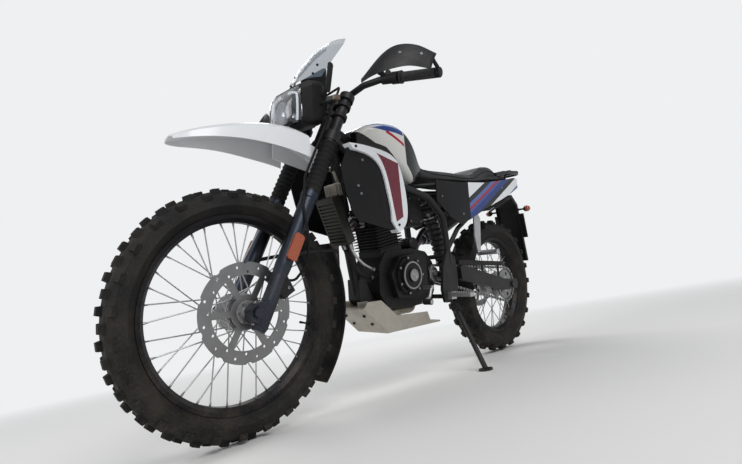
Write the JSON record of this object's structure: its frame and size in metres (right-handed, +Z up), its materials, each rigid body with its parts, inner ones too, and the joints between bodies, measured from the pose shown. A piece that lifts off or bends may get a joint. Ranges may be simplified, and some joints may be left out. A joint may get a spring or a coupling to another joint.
{
  "type": "dual sport motorcycle",
  "caption": "Dual sport motorcycle parked on its side stand, with spoked wheels on knobbly tyres, high front mudguard, tall screen, hand guards and luggage rack.",
  "frame": {"origin": "on the ground, under the middle of the parked motorcycle's bounding box", "axes": "+X forward, +Y to the rider's left, +Z up; the motorcycle leans to its left on its side stand"},
  "size_m": [2.082, 0.8491, 1.2681],
  "materials": {
    "alloy": "satin",
    "amber_lens": "gloss",
    "bare_steel": "brushed",
    "bash_alloy": "brushed",
    "black_plastic": "matte",
    "black_rim": "satin",
    "black_steel": "satin",
    "blade_plastic": "gloss",
    "clear_lens": "clear",
    "clear_screen": "clear",
    "engine_alloy": "satin",
    "gaiter_rubber": "matte",
    "grip_rubber": "matte",
    "guard_plastic": "satin",
    "header_steel": "heat tinted",
    "hose_rubber": "matte",
    "muffler_steel": "satin",
    "red_lens": "gloss",
    "seat_cover": "matte",
    "shroud_plastic": "gloss",
    "slider_alloy": "satin",
    "spring_steel": "gloss",
    "tail_body": "gloss",
    "tyre_rubber": "matte",
    "white_body": "gloss",
    "white_cover": "gloss"
  },
  "bodies": {
    "chassis": {"frame": "black_steel", "swingarm": "black_steel", "damper": "bare_steel", "shock_spring": "spring_steel", "chain": "bare_steel", "front_sprocket": "bare_steel", "chain_guard": "black_plastic", "rear_caliper": "black_steel", "engine_cases": "engine_alloy", "cylinder_and_head": "engine_alloy", "exhaust_pipe": "header_steel", "muffler": "muffler_steel", "airbox": "black_plastic", "oil_cooler": "engine_alloy", "bash_plate": "bash_alloy", "fuel_tank": "white_cover", "tank_shrouds": "shroud_plastic", "shroud_blades": "blade_plastic", "seat": "seat_cover", "side_panels": "white_cover", "tail_cowl": "tail_body", "rear_fender": "black_plastic", "tail_lamp": "red_lens", "rack": "black_steel", "pegs_and_pedals": "alloy"},
    "steering": {"fork_legs": "slider_alloy", "fork_gaiters": "gaiter_rubber", "yokes_and_tubes": "black_steel", "handlebar": "black_steel", "grips": "grip_rubber", "bar_controls": "black_plastic", "hand_guards": "guard_plastic", "front_fender": "white_body", "front_hugger": "black_plastic", "front_caliper": "black_steel", "headlamp_shell": "black_plastic", "headlamp_lens": "clear_lens", "windscreen": "clear_screen", "front_indicators": "amber_lens", "reflectors": "amber_lens", "front_brake_hose": "hose_rubber"},
    "front_wheel": {"front_tyre": "tyre_rubber", "front_rim": "black_rim", "front_hub": "alloy", "front_disc": "bare_steel"},
    "rear_wheel": {"rear_tyre": "tyre_rubber", "rear_rim": "black_rim", "rear_hub": "alloy", "rear_disc": "bare_steel", "rear_sprocket": "bare_steel"},
    "side_stand": {"side_stand": "black_steel"}
  },
  "joints": [
    {"name": "steering", "type": "hinge", "parent": "chassis", "child": "steering", "pos_m": [0.32036, -0.01714, 0.93308], "axis": [-0.4611, 0.1388, 0.8764], "range_deg": [-38, 38]},
    {"name": "front_wheel_spin", "type": "hinge", "parent": "steering", "child": "front_wheel", "pos_m": [0.69401, -0.11013, 0.3457], "axis": [-0.0001, 0.9877, -0.1564], "continuous": true},
    {"name": "rear_wheel_spin", "type": "hinge", "parent": "chassis", "child": "rear_wheel", "pos_m": [-0.71601, -0.11357, 0.32494], "axis": [-0.0001, 0.9877, -0.1564], "continuous": true},
    {"name": "side_stand_fold", "type": "hinge", "parent": "chassis", "child": "side_stand", "pos_m": [-0.20106, 0.00102, 0.24265], "axis": [0.1558, 0.9293, 0.3348], "range_deg": [0, 100]}
  ]
}
